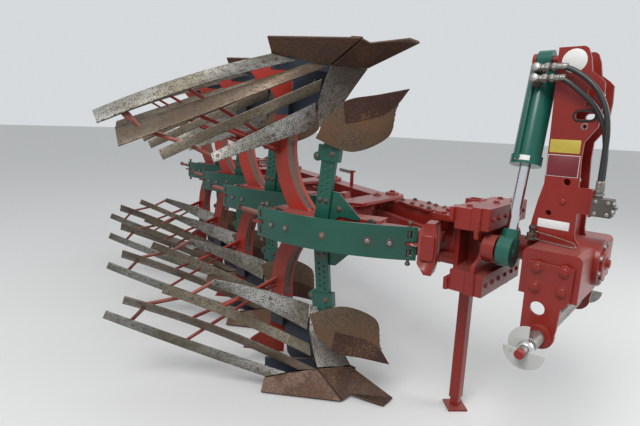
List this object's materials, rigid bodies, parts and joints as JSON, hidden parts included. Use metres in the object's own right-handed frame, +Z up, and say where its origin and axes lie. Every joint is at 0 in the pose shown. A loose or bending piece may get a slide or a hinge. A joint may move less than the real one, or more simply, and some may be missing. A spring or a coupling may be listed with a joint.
{
  "type": "mounted reversible mouldboard plough",
  "caption": "Mounted reversible plough with slatted mouldboards above and below a turnover shaft, leaf spring legs and a variable width beam.",
  "frame": {"origin": "middle of the part's box, on the ground that the shares and the stand rest on", "axes": "+X the way it travels, +Y to its left, +Z up"},
  "size_m": [4.719, 2.8898, 1.93],
  "materials": {
    "red_paint": "worn gloss red paint",
    "green_paint": "gloss sea green paint",
    "blue_black_paint": "dull blue black paint",
    "black_paint": "satin black",
    "white_paint": "scratched white paint",
    "worn_steel": "soil polished steel with rust",
    "pin_steel": "dull machined steel",
    "bright_steel": "bright steel",
    "chrome_rod": "polished chrome",
    "rubber": "black hydraulic hose"
  },
  "bodies": {
    "headstock": {"mast": "red_paint", "base_frame": "red_paint", "side_plates": "red_paint", "bearing_housing": "red_paint", "cross_shaft": "pin_steel", "hitch_balls": "bright_steel", "guide_cups": "white_paint", "cylinder_pin": "red_paint", "valve_block": "black_paint", "hoses": "rubber"},
    "barrel": {"barrel": "green_paint"},
    "rod": {"rod": "chrome_rod", "rod_eye": "green_paint"},
    "head": {"turning_head": "red_paint", "crank": "red_paint"},
    "stand": {"stand": "red_paint"},
    "beam": {"beam": "red_paint", "beam_plates": "red_paint"},
    "tie": {"tie_bar": "red_paint"},
    "carriage_1": {"carrier_1": "red_paint", "leaf_1": "green_paint", "inner_leaves_1": "red_paint", "legs_1": "red_paint", "frogs_1": "blue_black_paint", "slats_1": "worn_steel", "shares_1": "worn_steel", "stalks_1": "green_paint", "skimmers_1": "worn_steel"},
    "carriage_2": {"carrier_2": "red_paint", "leaf_2": "green_paint", "inner_leaves_2": "red_paint", "legs_2": "red_paint", "frogs_2": "blue_black_paint", "slats_2": "worn_steel", "shares_2": "worn_steel", "stalks_2": "green_paint", "skimmers_2": "worn_steel"},
    "carriage_3": {"carrier_3": "red_paint", "leaf_3": "green_paint", "inner_leaves_3": "red_paint", "legs_3": "red_paint", "frogs_3": "blue_black_paint", "slats_3": "worn_steel", "shares_3": "worn_steel", "stalks_3": "green_paint", "skimmers_3": "worn_steel"},
    "carriage_4": {"carrier_4": "red_paint", "leaf_4": "green_paint", "inner_leaves_4": "red_paint", "legs_4": "red_paint", "frogs_4": "blue_black_paint", "slats_4": "worn_steel", "shares_4": "worn_steel", "stalks_4": "green_paint", "skimmers_4": "worn_steel"}
  },
  "joints": [
    {"name": "turnover", "type": "hinge", "parent": "headstock", "child": "head", "pos_m": [1.905, -0.17, 0.966], "axis": [-1, 0, 0], "range_deg": [0, 180]},
    {"name": "barrel_swing", "type": "hinge", "parent": "headstock", "child": "barrel", "pos_m": [2.005, -0.17, 1.83], "axis": [1, 0, 0], "range_deg": [0, 14.56]},
    {"name": "rod_slide", "type": "slide", "parent": "barrel", "child": "rod", "axis": [0, -0.2513, -0.9679], "range_m": [-0.229, 0]},
    {"name": "stand_slide", "type": "slide", "parent": "head", "child": "stand", "axis": [0, 0, 1], "range_m": [0, 0.36]},
    {"name": "beam_swing", "type": "hinge", "parent": "head", "child": "beam", "pos_m": [1.645, -0.15, 0.966], "axis": [0, 0, -1], "range_deg": [-6.9, 6.6]},
    {"name": "carriage_1_pivot", "type": "hinge", "parent": "beam", "child": "carriage_1", "pos_m": [1.0555, 0.13088, 0.966], "axis": [0, 0, -1], "range_deg": [-6.6, 6.9]},
    {"name": "carriage_2_pivot", "type": "hinge", "parent": "beam", "child": "carriage_2", "pos_m": [0.2055, 0.53588, 0.966], "axis": [0, 0, -1], "range_deg": [-6.6, 6.9]},
    {"name": "carriage_3_pivot", "type": "hinge", "parent": "beam", "child": "carriage_3", "pos_m": [-0.6445, 0.94088, 0.966], "axis": [0, 0, -1], "range_deg": [-6.6, 6.9]},
    {"name": "carriage_4_pivot", "type": "hinge", "parent": "beam", "child": "carriage_4", "pos_m": [-1.4945, 1.34588, 0.966], "axis": [0, 0, -1], "range_deg": [-6.6, 6.9]},
    {"name": "tie_pivot", "type": "hinge", "parent": "carriage_1", "child": "tie", "pos_m": [1.0255, 0.00088, 0.966], "axis": [0, 0, -1], "range_deg": [-6.9, 6.6]}
  ],
  "couplings": [
    {"joint": "barrel_swing", "follows": "rod_slide", "rad_per_m": -1.1091},
    {"joint": "carriage_1_pivot", "follows": "beam_swing", "ratio": -1},
    {"joint": "carriage_2_pivot", "follows": "beam_swing", "ratio": -1},
    {"joint": "carriage_3_pivot", "follows": "beam_swing", "ratio": -1},
    {"joint": "carriage_4_pivot", "follows": "beam_swing", "ratio": -1},
    {"joint": "tie_pivot", "follows": "beam_swing", "ratio": 1}
  ]
}
